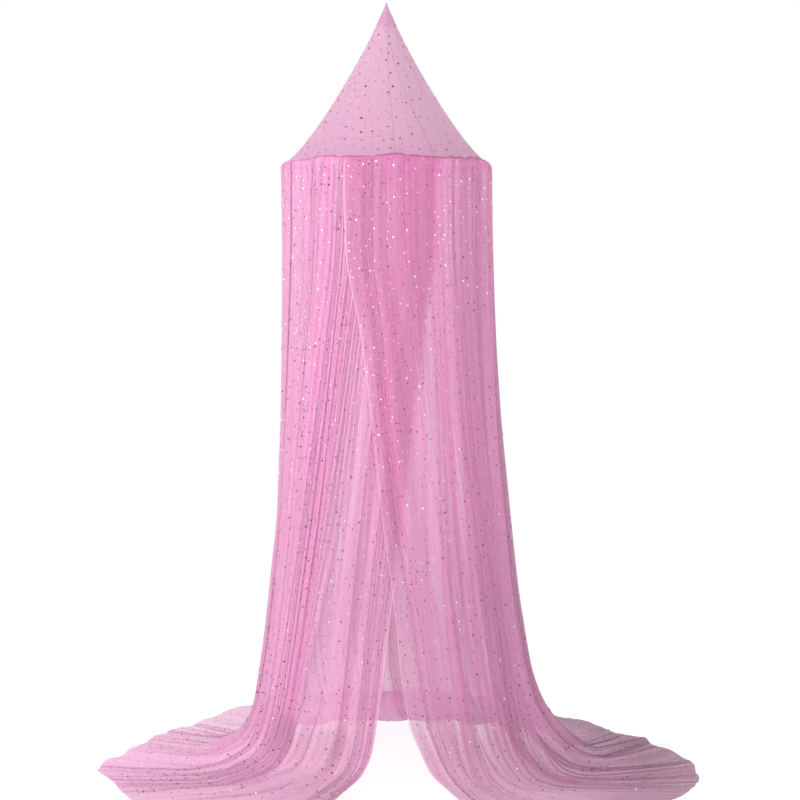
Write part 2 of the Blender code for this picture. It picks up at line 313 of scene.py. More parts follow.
def grid_mesh(name, points, uv_m, uv_unit, layers, flip=False):
    """A mesh from a grid of points (columns, rows, 3), with its maps and its vertex layers."""
    cols, rows = points.shape[:2]
    idx = np.arange(cols * rows).reshape(cols, rows)
    quads = np.stack((idx[:-1, :-1], idx[:-1, 1:], idx[1:, 1:], idx[1:, :-1]), -1).reshape(-1, 4)
    if flip:
        quads = quads[:, ::-1]
    me = bpy.data.meshes.new(name)
    me.vertices.add(cols * rows)
    me.vertices.foreach_set("co", points.reshape(-1, 3).astype(np.float32).ravel())
    me.loops.add(quads.size)
    me.loops.foreach_set("vertex_index", quads.astype(np.int32).ravel())
    me.polygons.add(len(quads))
    me.polygons.foreach_set("loop_start", np.arange(0, quads.size, 4, dtype=np.int32))
    me.polygons.foreach_set("use_smooth", np.ones(len(quads), bool))
    for layer, values in (("NetMetres", uv_m), ("OFBake", uv_unit)):
        uv = me.uv_layers.new(name=layer)
        uv.data.foreach_set("uv", values.reshape(-1, 2)[quads.ravel()].astype(np.float32).ravel())
    me.update(calc_edges=True)
    for layer, values in layers.items():
        at = me.attributes.new(layer, "FLOAT", "POINT")
        at.data.foreach_set("value", values.astype(np.float32).ravel())
    return me


def grid_normals(points):
    du = np.gradient(points, axis=0)
    dv = np.gradient(points, axis=1)
    n = np.cross(dv, du)
    size = np.linalg.norm(n, axis=-1, keepdims=True)
    return n / np.maximum(size, 1e-12)


def add(name, mesh, mat, node=None):
    obj = bpy.data.objects.new(name, mesh)
    bpy.context.scene.collection.objects.link(obj)
    mesh.materials.append(mat)
    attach(obj, "root")
    if node:
        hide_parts(node)
    return obj


# -------------------------------------------------------------- materials
class Nodes:
    """Short hand for building a node tree."""

    def __init__(self, name):
        self.mat = bpy.data.materials.new(name)
        self.mat.use_nodes = True
        self.tree = self.mat.node_tree
        self.tree.nodes.clear()

    def new(self, kind, inputs=None, **props):
        node = self.tree.nodes.new(kind)
        for key, value in props.items():
            setattr(node, key, value)
        for key, value in (inputs or {}).items():
            self.put(node.inputs[key], value)
        return node

    def put(self, socket, value):
        if isinstance(value, bpy.types.NodeSocket):
            self.tree.links.new(value, socket)
        else:
            socket.default_value = value

    def math(self, op, a, b=None, c=None, clamp=False):
        node = self.new("ShaderNodeMath", operation=op, use_clamp=clamp)
        for i, v in enumerate((a, b, c)):
            if v is not None:
                self.put(node.inputs[i], v)
        return node.outputs[0]


def net_material(name, colour, deep, pitch, streak, along=0.02, uneven=0.5, see=1.0, sheen=0.25, through=0.30,
                 **shades):
    """Sheer net: threads that cross, with holes between them that show what is behind."""
    n = Nodes(name)
    uv = n.new("ShaderNodeUVMap", uv_map="NetMetres").outputs[0]
    parts = n.new("ShaderNodeSeparateXYZ", {0: uv})
    u, v = parts.outputs[0], parts.outputs[1]
    turn = math.pi / pitch
    a = n.math("SINE", n.math("MULTIPLY", n.math("ADD", u, v), turn))
    b = n.math("SINE", n.math("MULTIPLY", n.math("SUBTRACT", u, v), turn))
    hole = n.math("MINIMUM", n.math("ABSOLUTE", a), n.math("ABSOLUTE", b))   # 0 on a thread
    thread = n.math("SUBTRACT", 1.0, hole)
    across = n.new("ShaderNodeCombineXYZ", {0: n.math("MULTIPLY", u, streak), 1: n.math("MULTIPLY", v, streak * along)})
    noise = n.new("ShaderNodeTexNoise", {"Vector": across.outputs[0], "Scale": 1.0, "Detail": 3.0,
                                         "Roughness": 0.62}, noise_dimensions="2D")
    grain = noise.outputs[0]
    cover = n.new("ShaderNodeAttribute", attribute_name="cover").outputs["Fac"]
    uneven = n.math("MULTIPLY_ADD", grain, uneven, 1.0 - 0.5 * uneven)
    weave = n.math("MULTIPLY_ADD", thread, 0.55, 0.70)
    alpha = n.math("MULTIPLY", n.math("MULTIPLY", cover, uneven), n.math("MULTIPLY", weave, see), clamp=True)
    heap = n.math("MULTIPLY_ADD", cover, 1.5, n.math("MULTIPLY_ADD", grain, 0.5, -0.85), clamp=True)
    tint = n.new("ShaderNodeMix", {0: heap, 6: (*colour, 1.0), 7: (*deep, 1.0)}, data_type="RGBA")
    for layer, shade in shades.items():
        share = n.new("ShaderNodeAttribute", attribute_name=layer).outputs["Fac"]
        share = n.math("MULTIPLY", share, n.math("MULTIPLY_ADD", grain, 0.7, 0.65), clamp=True)
        tint = n.new("ShaderNodeMix", {0: share, 6: tint.outputs[2], 7: (*shade, 1.0)}, data_type="RGBA")
    bump = n.new("ShaderNodeBump", {"Strength": 0.25, "Distance": 0.0004, "Height": thread})
    front = n.new("ShaderNodeBsdfPrincipled", {
        "Base Color": tint.outputs[2], "Roughness": 0.62, "Specular IOR Level": 0.25,
        "Sheen Weight": sheen, "Sheen Roughness": 0.45, "Sheen Tint": (1.0, 0.86, 0.94, 1.0),
        "Normal": bump.outputs[0]})
    back = n.new("ShaderNodeBsdfTranslucent", {"Color": tint.outputs[2]})
    cloth = n.new("ShaderNodeMixShader", {0: through, 1: front.outputs[0], 2: back.outputs[0]})
    clear = n.new("ShaderNodeBsdfTransparent")
    mix = n.new("ShaderNodeMixShader", {0: alpha, 1: clear.outputs[0], 2: cloth.outputs[0]})
    n.new("ShaderNodeOutputMaterial", {"Surface": mix.outputs[0]})
    return n.mat


# the colour where the net is sheer, and where its threads crowd together
NET_PINK = (0.84, 0.50, 0.71)
NET_DEEP = (0.93, 0.42, 0.70)
NET_RICH = (0.88, 0.31, 0.61)     # where folds lie over each other and at the gathered seam, and painted into the steep sides of the folds for light bounced inside them
NET_PAINTED_HIGHLIGHT = (1.00, 0.70, 0.87)     # painted highlight: the folded hem of a free edge and the sides of the folds, painted paler as if they caught the light
NET_PAINTED_SHADE = (0.375, 0.165, 0.26)     # painted shade: where the cloth lies on the floor, and low on the hanging cloth away from the light
CROWN_PINK = (0.672, 0.362, 0.545)
CROWN_DEEP = (0.712, 0.342, 0.555)
TAPE_PINK = (0.62, 0.20, 0.38)
TAPE_DEEP = (0.50, 0.14, 0.30)
TAPE_PALE = (0.90, 0.55, 0.74)    # where its folded edge turns up

crown_mat = net_material("crown_net_sheer", CROWN_PINK, CROWN_DEEP, 0.0022, 60.0, along=0.8, uneven=0.25)
cap_mat = net_material("cap_net_sheer", CROWN_PINK, CROWN_DEEP, 0.0022, 60.0, along=0.8, uneven=0.25)
curtain_mat = net_material("curtain_net_sheer", NET_PINK, NET_DEEP, 0.0022, 88.0, along=0.012, uneven=0.70, through=0.42,
                           rich=NET_RICH, dusk=NET_PAINTED_SHADE, pale=NET_PAINTED_HIGHLIGHT)
tape_mat = net_material("seam_tape_woven", TAPE_PINK, TAPE_DEEP, 0.0016, 400.0, sheen=0.1, through=0.15,
                        pale=TAPE_PALE)


def hoop_material():
    n = Nodes("hoop_wire_coated")
    place = n.new("ShaderNodeTexCoord").outputs["Object"]
    noise = n.new("ShaderNodeTexNoise", {"Vector": place, "Scale": 160.0, "Detail": 3.0})
    tint = n.new("ShaderNodeMix", {0: noise.outputs[0], 6: (0.74, 0.56, 0.63, 1.0), 7: (0.86, 0.72, 0.78, 1.0)},
                 data_type="RGBA")
    bump = n.new("ShaderNodeBump", {"Strength": 0.2, "Distance": 0.0003, "Height": noise.outputs[0]})
    skin = n.new("ShaderNodeBsdfPrincipled", {"Base Color": tint.outputs[2], "Roughness": 0.35,
                                              "Normal": bump.outputs[0]})
    n.new("ShaderNodeOutputMaterial", {"Surface": skin.outputs[0]})
    return n.mat


def foil_material():
    n = Nodes("silver_foil")
    shade = n.new("ShaderNodeAttribute", attribute_name="shade").outputs["Fac"]
    place = n.new("ShaderNodeTexCoord").outputs["Object"]
    noise = n.new("ShaderNodeTexNoise", {"Vector": place, "Scale": 900.0, "Detail": 1.0})
    # painted reflection: each flake's colour runs from dark, for one turned away from the light, to white, for a glint
    tint = n.new("ShaderNodeMix", {0: shade, 6: (0.075, 0.004, 0.035, 1.0), 7: (1.0, 1.0, 1.0, 1.0)},
                 data_type="RGBA")
    rough = n.math("MULTIPLY_ADD", noise.outputs[0], 0.25, 0.45)
    skin = n.new("ShaderNodeBsdfPrincipled", {"Base Color": tint.outputs[2], "Roughness": rough,
                                              "Specular IOR Level": 0.12})
    n.new("ShaderNodeOutputMaterial", {"Surface": skin.outputs[0]})
    return n.mat


# ------------------------------------------------------------------ crown
SEAM = np.array((
    # direction  how far the seam hangs below its level line
    (-180.0, 0.0040),
    (-160.0, 0.0060),
    (-140.0, 0.0025),
    (-120.0, 0.0055),
    (-100.0, 0.0035),
    (-86.0, 0.0062),
    (-74.5, 0.0062),
    (-61.0, 0.0075),
    (-51.0, 0.0108),
    (-46.0, 0.0086),
    (-40.0, 0.0035),
    (-33.0, 0.0035),
    (-25.0, 0.0062),
    (-18.0, 0.0080),
    (-11.0, 0.0076),
    (-4.0, 0.0064),
    (0.0, 0.0030),
    (4.0, 0.0004),
    (9.0, 0.0014),
    (16.0, 0.0056),
    (26.0, 0.0074),
    (34.0, 0.0094),
    (38.0, 0.0052),
    (44.0, 0.0060),
    (50.0, 0.0066),
    (56.0, -0.0008),
    (60.0, 0.0034),
    (64.0, 0.0006),
    (70.0, 0.0040),
    (78.0, 0.0022),
    (86.0, 0.0044),
    (100.0, 0.0045),
    (120.0, 0.0060),
    (140.0, 0.0030),
    (160.0, 0.0055),
    (180.0, 0.0040),
))


def seam_dip(direction):
    """How far the seam hangs below its level line, in metres: it is not sewn quite level."""
    d = (np.asarray(direction, float) + 180.0) % 360.0 - 180.0
    i = np.clip(np.searchsorted(SEAM[:, 0], d, side="right") - 1, 0, len(SEAM) - 2)
    t = smooth((d - SEAM[i, 0]) / (SEAM[i + 1, 0] - SEAM[i, 0]))
    a = np.radians(d)
    return (SEAM[i, 1] + (SEAM[i + 1, 1] - SEAM[i, 1]) * t
            + 0.0005 * np.sin(37.0 * a + 0.4) + 0.0004 * np.sin(61.0 * a + 2.0))


def veiled(normals, view, veil):
    """Share that the threads cover when looked at along view."""
    facing = np.abs((normals * view).sum(-1))
    return 1.0 - np.exp(-veil / np.maximum(facing, 0.22))


def build_crown():
    rng = np.random.default_rng(911)
    sides, rings = 240, 52
    d = np.linspace(-180.0, 180.0, sides + 1)
    share = np.linspace(0.0, 1.0, rings + 1) ** 1.15
    share[0] = 0.004
    top = 0.0044
    drop = top + share[None, :] * (CROWN_DROP - top + seam_dip(d)[:, None])
    a = np.radians(d)[:, None]
    r = CROWN_SLOPE * (drop - 0.0040) + CROWN_FLARE * drop ** 2
    lip = np.maximum(drop - LIP_START, 0.0) / (CROWN_DROP - LIP_START)
    r = r + LIP_OUT * lip ** 3
    # small gathers that die out above the seam, and a little slack in the cloth
    near = smooth((drop - (CROWN_DROP - 0.040)) / 0.050)
    gathers = np.sin(np.radians(d * 61.0) + 1.7 * np.sin(np.radians(d * 5.0))) * 0.5 + \
        np.sin(np.radians(d * 97.0) + 0.9) * 0.35
    r = r + 0.0009 * near ** 2 * gathers[:, None]
    slack = 0.0012 * np.sin(np.radians(d * 4.0) + 0.6)[:, None] * np.sin(np.pi * share)[None, :]
    r = r + slack
    r[-1] = r[0]
    points = np.stack((r * np.sin(a), -r * np.cos(a), -drop), -1)
    normals = grid_normals(points)
    radial = np.stack(np.broadcast_arrays(np.sin(a), -np.cos(a), np.zeros_like(r)), -1)
    cover = veiled(normals, radial, VEIL_CROWN)
    # the last rows are turned under at the seam
    below = CROWN_DROP + seam_dip(d)[:, None] - drop
    cover = cover + (0.95 - cover) * smooth((0.006 - below) / 0.004) * 0.4
    length = np.concatenate((np.zeros((sides + 1, 1)), np.cumsum(np.hypot(np.diff(r, axis=1), np.diff(drop, axis=1)), 1)), 1)
    uv = np.stack(np.broadcast_arrays(np.radians(d)[:, None] * 0.16, length), -1)
    unit = np.stack(np.broadcast_arrays((d[:, None] + 180.0) / 360.0, 1.0 - length / length.max()), -1)
    me = grid_mesh("crown", points, uv, unit * 0.98 + 0.01, {"cover": cover})
    return add("crown_net", me, crown_mat, node="crown"), points, normals, length


crown, crown_points, crown_normals, crown_length = build_crown()


def cone_point(direction, drop, out=0.0):
    """A point on the crown's cloth, or off it by out."""
    a = np.radians(direction)
    lip = np.maximum(drop - LIP_START, 0.0) / (CROWN_DROP - LIP_START)
    r = CROWN_SLOPE * (drop - 0.0040) + CROWN_FLARE * drop ** 2 + LIP_OUT * lip ** 3 + out
    return np.stack(np.broadcast_arrays(r * np.sin(a), -r * np.cos(a), -drop), -1)


def build_crown_seams():
    """Felled seams between the gores: narrow doubled strips that stand a little off the cone."""
    pieces = []
    # direction at the apex and at the lower edge
    for first, last in ((2.0, 5.0), (9.0, 28.0), (124.0, 122.0), (-118.0, -121.0)):
        t = np.linspace(0.0, 1.0, 46)
        drop = 0.030 + t * (CROWN_DROP - 0.030)
        d = first + (last - first) * smooth(t * 1.1)
        width = 0.0042 * np.ones_like(t)
        r = np.maximum(cone_radius(drop), 0.01)
        half = np.degrees(width / 2.0 / r)
        cols = []
        for k in (-1.0, -0.4, 0.4, 1.0):
            cols.append(cone_point(d + half * k, drop, 0.0009 - 0.0005 * abs(k)))
        pieces.append(np.stack(cols))
    return pieces


seam_strips = build_crown_seams()
verts, faces, uvs, units = [], [], [], []
for s, strip in enumerate(seam_strips):
    cols, rows = strip.shape[:2]
    base = len(verts)
    along = np.concatenate(([0.0], np.cumsum(np.linalg.norm(np.diff(strip[1], axis=0), axis=1))))
    for i in range(cols):
        for j in range(rows):
            verts.append(strip[i, j])
            uvs.append((i * 0.0014, along[j]))
            units.append(((s + (0.1 + 0.8 * i / (cols - 1))) / len(seam_strips), 0.01 + 0.98 * j / (rows - 1)))
    for i in range(cols - 1):
        for j in range(rows - 1):
            a = base + i * rows + j
            faces.append((a, a + 1, a + rows + 1, a + rows))
me = bpy.data.meshes.new("crown_seams")
me.from_pydata([tuple(map(float, p)) for p in verts], [], faces)
for layer, values in (("NetMetres", uvs), ("OFBake", units)):
    uv = me.uv_layers.new(name=layer)
    for poly in me.polygons:
        for li in poly.loop_indices:
            uv.data[li].uv = values[me.loops[li].vertex_index]
at = me.attributes.new("cover", "FLOAT", "POINT")
at.data.foreach_set("value", np.full(len(verts), 0.42, np.float32))
me.shade_smooth()
crown_seams = add("crown_seams", me, crown_mat)


def build_cap():
    sides, rings = 120, 14
    d = np.linspace(-180.0, 180.0, sides + 1)
    share = np.linspace(0.0, 1.0, rings + 1)
    drop = 0.0006 + share[None, :] * (CAP_DROP - 0.0006 + 0.0010 * np.sin(np.radians(d * 3.0))[:, None])
    a = np.radians(d)[:, None]
    r = CROWN_SLOPE * drop + CROWN_FLARE * drop ** 2
    points = np.stack((r * np.sin(a), -r * np.cos(a), -drop), -1)
    normals = grid_normals(points)
    radial = np.stack(np.broadcast_arrays(np.sin(a), -np.cos(a), np.zeros_like(r)), -1)
    cover = veiled(normals, radial, VEIL_CAP)
    # doubled at its lower edge, and bound at the very tip
    cover = cover + (0.90 - cover) * np.maximum(smooth((drop - (CAP_DROP - 0.004)) / 0.003) * 0.25,
                                               smooth((0.012 - drop) / 0.010) * 0.7)
    uv = np.stack(np.broadcast_arrays(np.radians(d)[:, None] * 0.02, drop * 1.1), -1)
    unit = np.stack(np.broadcast_arrays((d[:, None] + 180.0) / 360.0, 1.0 - drop / drop.max()), -1)
    me = grid_mesh("apex_cap", points, uv, unit * 0.98 + 0.01, {"cover": cover})
    return add("apex_cap_net", me, cap_mat, node="apex_cap")


cap = build_cap()


# -------------------------------------------------------------- seam tape
def build_tape():
    rng = np.random.default_rng(52)
    steps = 720
    d = np.linspace(-180.0, 180.0, steps + 1)
    a = np.radians(d)
    dip = seam_dip(d)
    # the gathers push it out and in, and its upper edge frays upward here and there
    wave = 0.0007 * np.sin(a * 83.0 + 2.0 * np.sin(a * 6.0)) + 0.0005 * np.sin(a * 47.0 + 1.0)
    rough = np.abs(np.interp(d, np.linspace(-180, 180, 181), rng.standard_normal(181)))
    frill = 0.0008 * rough + 0.0050 * np.exp(-((d - 52.0) / 15.0) ** 2) * np.clip(rough - 0.5, 0, 1.5)
    frill[-1] = frill[0]
    slope = CROWN_SLOPE + 2 * CROWN_FLARE * CROWN_DROP + 3 * LIP_OUT / (CROWN_DROP - LIP_START)
    run = 1.0 / math.hypot(1.0, slope)
    ar, az, nr, nz = slope * run, -run, run, slope * run
    edge_drop = CROWN_DROP + dip
    edge_r = cone_radius(edge_drop)
    cols = []
    for s in (-1.0, -0.55, 0.0, 0.55, 1.0):
        down = 0.0004 + s * 0.0036 - (frill if s < -0.9 else 0.0)
        lift = 0.0022 + 0.0006 * (1.0 - s * s) + 0.0010 * max(s, 0.0) + wave * (0.6 + 0.4 * s) + \
            (0.0010 * rough if s < -0.9 else 0.0)
        r = edge_r + ar * down + nr * lift
        z = -edge_drop + az * down + nz * lift
        r[-1], z[-1] = r[0], z[0]
        cols.append(np.stack((r * np.sin(a), -r * np.cos(a), z), -1))
    points = np.stack(cols, 1)
    cover = np.full(points.shape[:2], 0.80)
    cover[:, 0] = 0.55
    uv = np.stack(np.broadcast_arrays((a * 0.285)[:, None], np.linspace(0, 0.008, 5)[None, :]), -1)
    unit = np.stack(np.broadcast_arrays(((d + 180.0) / 360.0)[:, None], np.linspace(0.05, 0.95, 5)[None, :]), -1)
    turned = np.clip(0.10 + 0.9 * np.interp(d, np.linspace(-180, 180, 140), rng.standard_normal(140)), 0.0, 1.0)
    turned = np.maximum(turned * 0.7, 0.85 * smooth((d + 92.0) / 14.0) * smooth((-52.0 - d) / 8.0))
    turned[-1] = turned[0]
    pale = turned[:, None] * np.array((1.0, 0.9, 0.6, 0.35, 0.2))[None, :]
    me = grid_mesh("seam_tape", points, uv, unit, {"cover": cover, "pale": pale})
    return add("seam_tape_woven", me, tape_mat, node="seam_tape")


tape = build_tape()

# ------------------------------------------------------------------- hoop
hoop_mat = hoop_material()
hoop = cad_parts["hoop"]
if not hasattr(hoop, "data"):
    hoop = bpy.data.objects["hoop"]
for k in range(max(1, len(hoop.material_slots))):
    if len(hoop.material_slots) == 0:
        hoop.data.materials.append(hoop_mat)
    else:
        hoop.material_slots[k].material = hoop_mat


# ---------------------------------------------------------------- curtain
def wave_table(seam_direction):
    """Main fold wave, and its depth at the top and foot, at directions along the seam."""
    total = FOLDS[:, 0].sum()
    ends = RIGHT_EDGE + SEAM_TURN * np.concatenate(([0.0], np.cumsum(FOLDS[:, 0]))) / total
    k = np.clip(np.searchsorted(ends, seam_direction, side="right") - 1, 0, len(FOLDS) - 1)
    t = np.clip((seam_direction - ends[k]) / (ends[k + 1] - ends[k]), 0.0, 1.0)
    after = np.minimum(k + 1, len(FOLDS) - 1)
    bent = t + FOLDS[k, 3] * np.sin(2 * np.pi * t) / (2 * np.pi)
    return (np.cos(2 * np.pi * bent), FOLDS[k, 1] + (FOLDS[after, 1] - FOLDS[k, 1]) * t,
            FOLDS[k, 2] + (FOLDS[after, 2] - FOLDS[k, 2]) * t)


# lengths down the cloth at which the tables' rows lie
mean_r = LEVELS[:, [L_LEFT, L_RIGHT, L_FRONT, L_BACK]].mean(1)
hem_mean = 0.85
station_r = np.concatenate((mean_r, mean_r[-1] + (hem_mean - mean_r[-1]) * TRAIL[:, T_SHARE]))
station_h = np.concatenate((LEVELS[:, L_HEIGHT], [0.012, 0.009, 0.007]))
station_s = np.concatenate(([0.0], np.cumsum(np.hypot(np.diff(station_r), np.diff(station_h)))))
CLOTH_LENGTH = float(station_s[-1])


def row_places():
    """Rows close together over the hoop and at the bend on the floor."""
    out, s = [0.0], 0.0
    h_at = lambda x: float(np.interp(x, station_s, station_h))
    while s < CLOTH_LENGTH - 0.004:
        h = h_at(s)
        if s < 0.030:
            step = 0.0032
        elif s < 0.10:
            step = 0.008
        elif h > 0.34:
            step = 0.0245
        elif h > 0.02:
            step = 0.0135
        else:
            step = 0.0200
        s = min(s + step, CLOTH_LENGTH)
        out.append(s)
    out[-1] = CLOTH_LENGTH
    return np.array(out)


row_s = row_places()
ROWS = len(row_s)


def base_grid(dirs):
    """Radius, height, direction and main fold swing for directions along the seam (first axis) at every row."""
    from_right = dirs - RIGHT_EDGE
    from_left = RIGHT_EDGE + SEAM_TURN - dirs
    calm = EDGE_CALM + (1.0 - EDGE_CALM) * smooth(np.minimum(from_right, from_left) / CALM_REACH)
    lapping = 1.0 - smooth(from_right / LAP_REACH)
    under = 1.0 - smooth(from_left / 62.0)
    wave, top, foot = wave_table(dirs)
    R, H, D, W = [], [], [], []
    for row in LEVELS:
        d = shifted(dirs, row[L_REDGE], row[L_LEDGE], 0.0)
        down = (LEVELS[0, L_HEIGHT] - row[L_HEIGHT]) / LEVELS[0, L_HEIGHT]
        back = BACK_CALM * smooth((40.0 - np.abs(d - 180.0)) / 25.0) * smooth((0.5 - row[L_HEIGHT]) / 0.4)
        W.append(0.5 * row[L_DEPTH] * (top + (foot - top) * down) * calm * wave * (1.0 - back))
        crest = round_value(d, row[L_LEFT], row[L_RIGHT], row[L_FRONT], row[L_BACK])
        R.append(crest - 0.5 * row[L_DEPTH] + row[L_LAP] * lapping - 0.25 * row[L_LAP] * under)
        H.append(np.full_like(d, row[L_HEIGHT]))
        D.append(d)
    foot_r = R[-1]
    for row in TRAIL:
        d = shifted(dirs, row[T_REDGE], row[T_LEDGE], row[T_FAN])
        hem = hem_radius(d) + HEM_WAVE * wave
        ridge = 0.5 * row[T_RIDGE] * foot * calm
        R.append(foot_r + (hem - foot_r) * row[T_SHARE])
        H.append(0.0012 + ridge)
        D.append(d)
        W.append(ridge * wave)
    stack = [np.stack(x, -1) for x in (R, H, D, W)]
    return [hermite(row_s, station_s, x) for x in stack]


DIRS = np.linspace(RIGHT_EDGE, RIGHT_EDGE + SEAM_TURN, 1633)
base_r, base_h, base_d, base_w = base_grid(DIRS)
slope_r, slope_h = np.gradient(base_r, row_s, axis=1), np.gradient(base_h, row_s, axis=1)
size = np.hypot(slope_r, slope_h)
norm_r, norm_h = -slope_h / size, slope_r / size

shape_s = np.interp(-SHAPE[:, S_HEIGHT], -np.concatenate((LEVELS[:, L_HEIGHT], -TRAIL[:, T_SHARE])),
                    station_s)
row_shape = {k: hermite(row_s, shape_s, SHAPE[:, k]) for k in range(1, 7)}
row_height = np.interp(row_s, station_s, station_h)

# the sine-shaped pleat whose line turns by up to omega: its way along and its way out
OMEGAS = np.linspace(0.0, 2.02, 102)
PHI = np.linspace(0.0, 1.0, SUB + 1)
fine = np.linspace(0.0, 1.0, 1801)
along_tab, out_tab, full_tab = [], [], []
for w in OMEGAS:
    ang = w * np.sin(2 * np.pi * fine)
    c, s = np.cos(ang), np.sin(ang)
    x = np.concatenate(([0.0], np.cumsum((c[1:] + c[:-1]) / 2) / (len(fine) - 1)))
    y = np.concatenate(([0.0], np.cumsum((s[1:] + s[:-1]) / 2) / (len(fine) - 1)))
    full_tab.append(1.0 / x[-1])
    along_tab.append(np.interp(PHI, fine, x / x[-1]))
    out_tab.append(np.interp(PHI, fine, y))
along_tab, out_tab, full_tab = map(np.array, (along_tab, out_tab, full_tab))


def build_curtain():
    rng = np.random.default_rng(20771)
    # material width of each pleat
    m = np.exp(0.42 * rng.standard_normal(PLEATS))
    m = np.clip(m, 0.45, 2.1)
    m[0], m[-1] = 1.60, 1.15
    m *= CLOTH_WIDTH / m.sum()
    # how closely it is gathered, changing slowly down the cloth
    own = soft_noise(rng, PLEATS, ROWS, 1.0, ROWS / 2.2) * 0.09 + soft_noise(rng, PLEATS, 1, 1.0, 1.0) * 0.28
    group = soft_noise(rng, PLEATS, ROWS, 6.5, ROWS / 2.0) * 0.06 + soft_noise(rng, PLEATS, 1, 4.0, 1.0) * 0.19
    wide = soft_noise(rng, PLEATS, ROWS, 17.0, ROWS / 1.5) * 0.03
    spread = row_shape[S_SPREAD][None, :]
    uneven = (own + group + wide) * (0.80 + 0.25 * spread)
    uneven[0] = hermite(row_s, np.interp(-EDGE_STRIP[:, 0], -np.concatenate((LEVELS[:, L_HEIGHT], -TRAIL[:, T_SHARE])),
                                         station_s), EDGE_STRIP[:, 1])
    uneven[-1] = -0.35
    bounds = np.tile(np.linspace(0.0, 1.0, PLEATS + 1)[:, None], (1, ROWS))
    for _ in range(5):
        mid = RIGHT_EDGE + SEAM_TURN * 0.5 * (bounds[1:] + bounds[:-1])
        here = np.empty_like(mid)
        for j in range(ROWS):
            here[:, j] = np.interp(mid[:, j], DIRS, base_d[:, j])
        around = (here + 180.0) % 360.0 - 180.0
        bunch = np.interp(around, BUNCH[:, 0], BUNCH[:, 1])
        full = np.exp(uneven) * (1.0 + (bunch - 1.0) * spread)
        w = m[:, None] / full
        w = w / w.sum(0)
        bounds = np.concatenate((np.zeros((1, ROWS)), np.cumsum(w, 0)))
    bounds /= bounds[-1]
    seam_dir = RIGHT_EDGE + SEAM_TURN * bounds
    actual = np.empty_like(seam_dir)
    radius = np.empty_like(seam_dir)
    for j in range(ROWS):
        actual[:, j] = np.interp(seam_dir[:, j], DIRS, base_d[:, j])
        radius[:, j] = np.interp(seam_dir[:, j], DIRS, base_r[:, j])
    plan = np.radians(np.diff(actual, axis=0)) * 0.5 * (radius[1:] + radius[:-1])
    fullness = m[:, None] / plan
    fine_full = np.clip(fullness / row_shape[S_FULL][None, :], 1.0, 3.4)
    k = np.interp(fine_full, full_tab, np.arange(len(full_tab)))
    k0 = np.minimum(k.astype(int), len(full_tab) - 2)
    f = (k - k0)[..., None]
    along = along_tab[k0] * (1 - f) + along_tab[k0 + 1] * f       # pleats, rows, SUB + 1
    out = out_tab[k0] * (1 - f) + out_tab[k0 + 1] * f
    calm = np.minimum(bounds[:-1], 1.0 - bounds[1:]) * SEAM_TURN
    calm = 0.62 + 0.38 * smooth(calm / 40.0)
    # the foot stands almost straight at the back
    mid_dir = 0.5 * (actual[1:] + actual[:-1])
    straight = smooth((58.0 - np.abs(mid_dir - 180.0)) / 30.0)
    calm = calm * (1.0 - straight * (0.10 * smooth((0.90 - row_height) / 0.5) + 0.40 * smooth((0.30 - row_height) / 0.25)))
    # smoothest where the doorway shows it
    calm = calm * (1.0 - 0.45 * smooth((16.0 - np.abs(mid_dir - 181.0)) / 8.0) * smooth((0.80 - row_height) / 0.3))
    # and the pleats lie flatter towards the front, most of all beside the lap
    facing = np.abs((mid_dir + 180.0) % 360.0 - 180.0)
    beside = smooth((facing - 20.0) / 12.0) * smooth((70.0 - facing) / 20.0) * smooth((mid_dir - 180.0) / 40.0)
    calm = calm * (1.0 + 0.07 * smooth((facing - 112.0) / 25.0) * smooth((row_height - 0.7) / 0.4)
                   - 0.08 * smooth((125.0 - facing) / 25.0)
                   - 0.25 * beside * smooth((1.55 - row_height) / 0.3) * smooth((row_height - 0.25) / 0.3))
    tall = out * m[:, None, None] * row_shape[S_SQUEEZE][None, :, None] * calm[..., None]
    tall[0] *= 0.30
    tall[-1] *= 0.30
    # pleats run into each other lower down: every other trough fills up, more or less
    fill = rng.uniform(0.0, 1.0, PLEATS + 1)
    fill = np.where(np.arange(PLEATS + 1) % 2 == 1, 0.25 + 0.6 * fill, 0.12 * fill)
    later = soft_noise(rng, PLEATS + 1, ROWS, 3.0, ROWS / 3.0)
    grow = smooth((1.30 - row_height[None, :]) / 1.0 + 0.30 * later)
    height = tall.max(-1)
    edge_height = np.minimum(np.concatenate((height[:1], height)), np.concatenate((height, height[-1:])))
    trough = fill[:, None] * grow * edge_height * 0.8
    lean = np.clip(soft_noise(rng, PLEATS, ROWS, 2.2, ROWS / 2.5) * 0.45, -0.9, 0.9)
    # columns
    cols = PLEATS * SUB + 1
    u = np.empty((cols, ROWS))
    y = np.empty((cols, ROWS))
    x = np.empty(cols)
    start = np.concatenate(([0.0], np.cumsum(m)))
    for p in range(PLEATS):
        for q in range(SUB + (1 if p == PLEATS - 1 else 0)):
            i = p * SUB + q
            t = q / SUB
            span = seam_dir[p + 1] - seam_dir[p]
            rise = tall[p, :, q]
            u[i] = seam_dir[p] + span * along[p, :, q] + np.degrees(lean[p] * rise / radius[p]) * 0.35
            y[i] = rise + trough[p] * (1 - t) + trough[p + 1] * t - (trough[p] * (1 - t) + trough[p + 1] * t) * rise / np.maximum(height[p], 1e-6)
            x[i] = start[p] + m[p] * t
    u = np.clip(u, DIRS[0], DIRS[-1])
